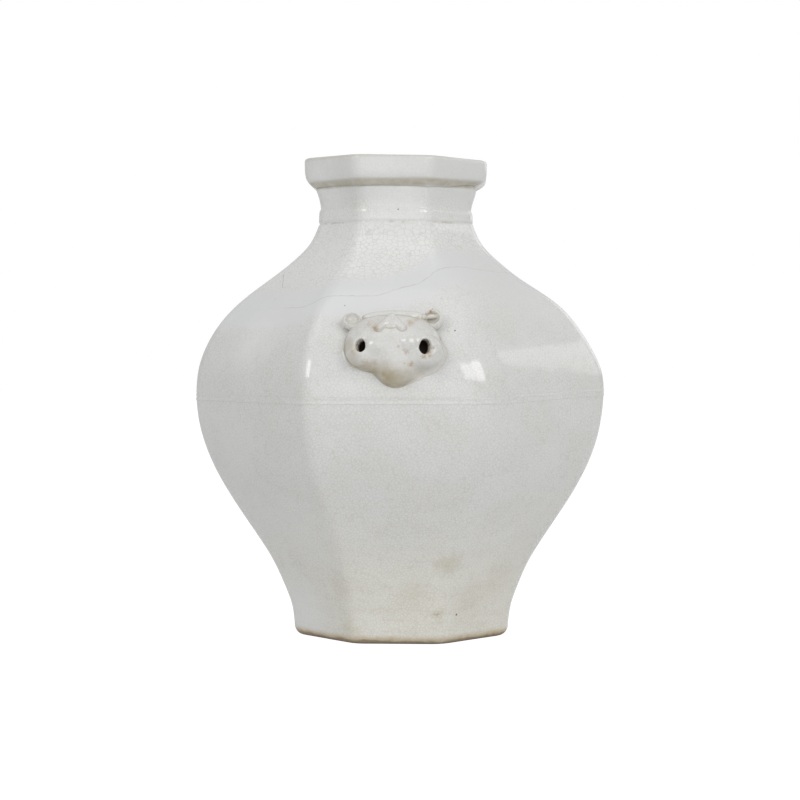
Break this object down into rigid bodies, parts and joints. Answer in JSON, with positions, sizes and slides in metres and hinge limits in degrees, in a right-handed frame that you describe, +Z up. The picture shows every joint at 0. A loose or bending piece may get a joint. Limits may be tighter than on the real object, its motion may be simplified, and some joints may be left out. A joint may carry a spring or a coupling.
{
  "type": "lidless octagonal porcelain jar",
  "caption": "Eight-sided white crackle-glazed baluster jar with a faceted lip, a short neck, a low foot and a pierced beast mask on the front and back.",
  "frame": {"origin": "centre of the foot, on the surface the jar stands on", "axes": "+Z up through the mouth, -Y out through the front mask, +X to the viewer's right"},
  "size_m": [0.287, 0.3096, 0.3411],
  "materials": {
    "body_glaze": "glossy",
    "mask_glaze": "glossy",
    "inner_glaze": "satin",
    "bare_foot": "matte"
  },
  "bodies": {
    "root": {"foot_ring": "bare_foot", "base_slab": "body_glaze", "lower_body": "body_glaze", "shoulder": "body_glaze", "belly_luting_strip": "body_glaze", "neck": "body_glaze", "lip": "body_glaze", "base_inner_coil": "inner_glaze", "belly_inner_coil": "inner_glaze", "neck_inner_coil": "inner_glaze", "front_mask_face": "mask_glaze", "front_mask_muzzle": "mask_glaze", "front_mask_tuft": "mask_glaze", "front_mask_crest": "mask_glaze", "front_mask_left_eye": "mask_glaze", "front_mask_right_eye": "mask_glaze", "front_mask_left_ear": "mask_glaze", "front_mask_right_ear": "mask_glaze", "back_mask_face": "mask_glaze", "back_mask_muzzle": "mask_glaze", "back_mask_tuft": "mask_glaze", "back_mask_crest": "mask_glaze", "back_mask_left_eye": "mask_glaze", "back_mask_right_eye": "mask_glaze", "back_mask_left_ear": "mask_glaze", "back_mask_right_ear": "mask_glaze"}
  },
  "joints": []
}
